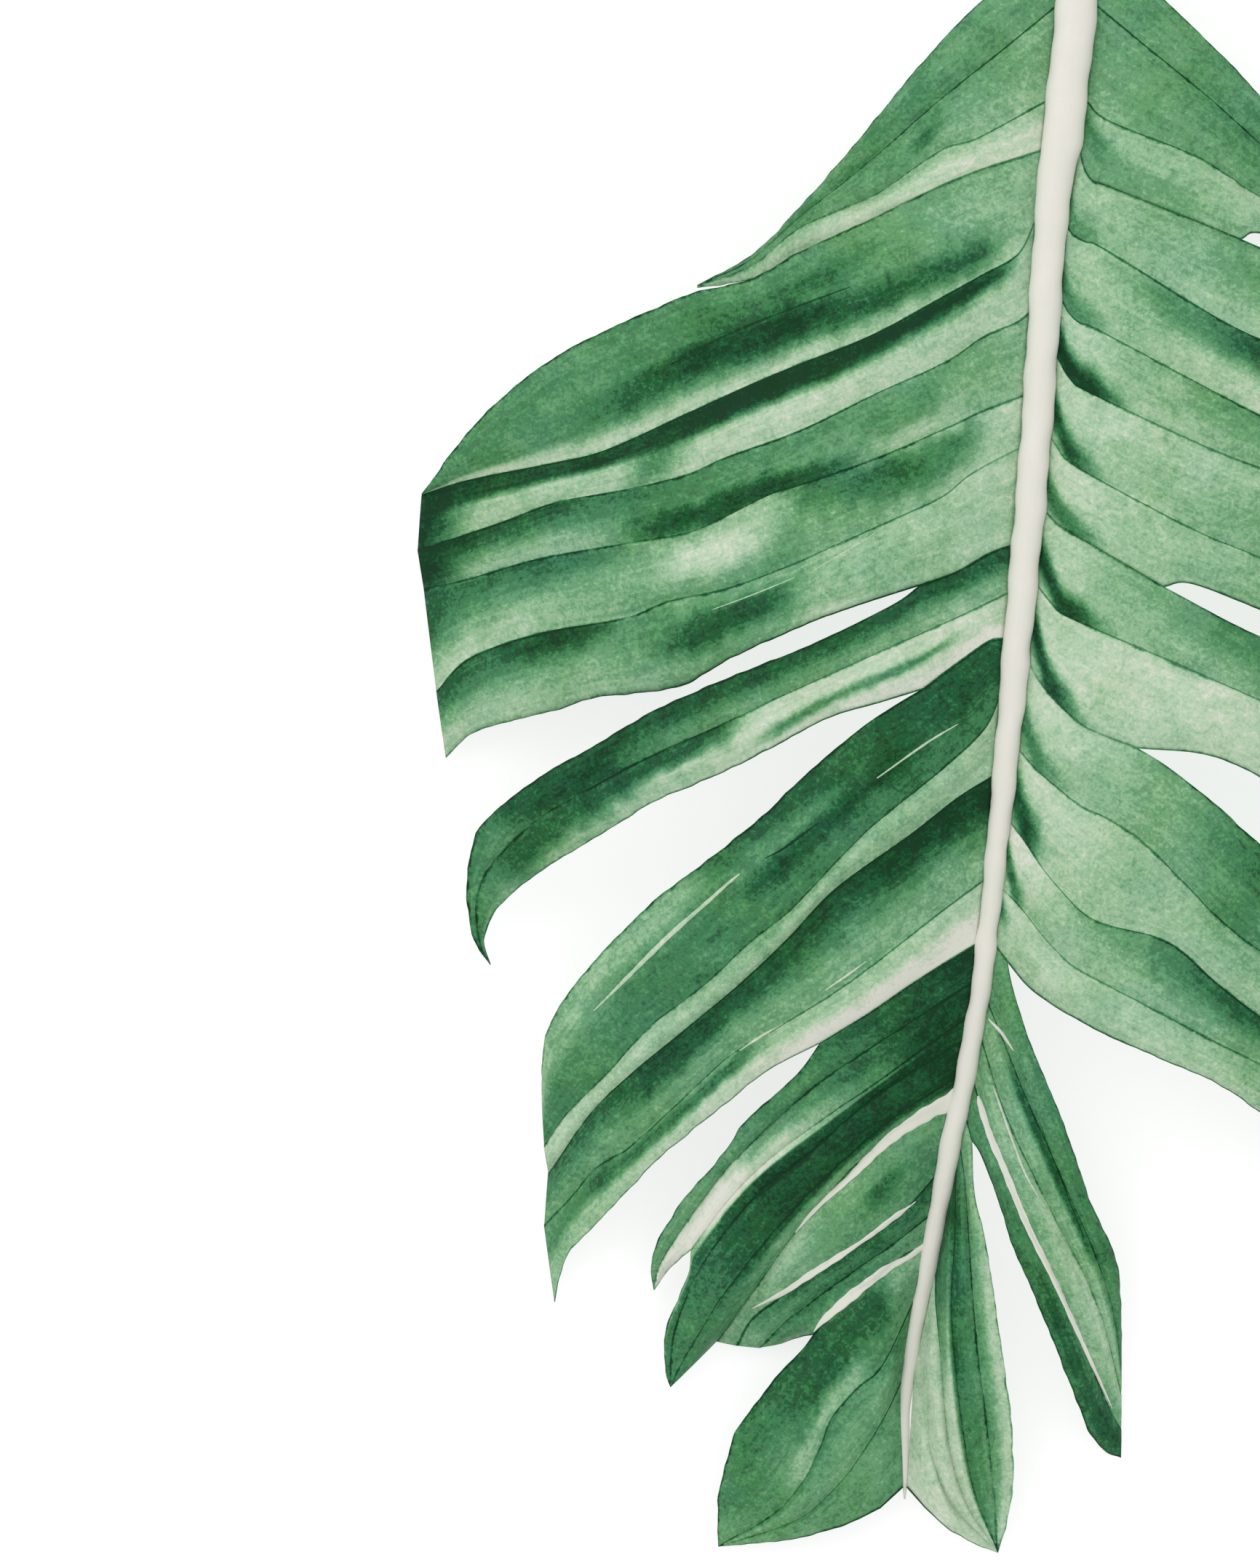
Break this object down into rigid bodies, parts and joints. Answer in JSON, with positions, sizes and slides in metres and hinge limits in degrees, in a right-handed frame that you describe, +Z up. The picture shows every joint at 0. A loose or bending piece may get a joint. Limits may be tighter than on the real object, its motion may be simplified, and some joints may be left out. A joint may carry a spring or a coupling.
{
  "type": "palm frond",
  "caption": "Cut feather-palm frond with a pale arched midrib and broad pleated green leaflets with hooked tips, lying on its underside.",
  "frame": {"origin": "on the supporting surface, under the middle of the frond's box", "axes": "+Y from the leaf tip to the cut end of the stalk, +X to the frond's right as seen from above, +Z up"},
  "size_m": [0.6014, 0.9836, 0.085],
  "materials": {
    "stalk": "fresh pale cream leaf stalk, smooth and slightly waxy",
    "leaf": "fresh pleated palm leaf, matt to satin, streaked from deep green to pale mint"
  },
  "bodies": {
    "root": {"rachis": "stalk", "blade": "leaf"}
  },
  "joints": []
}
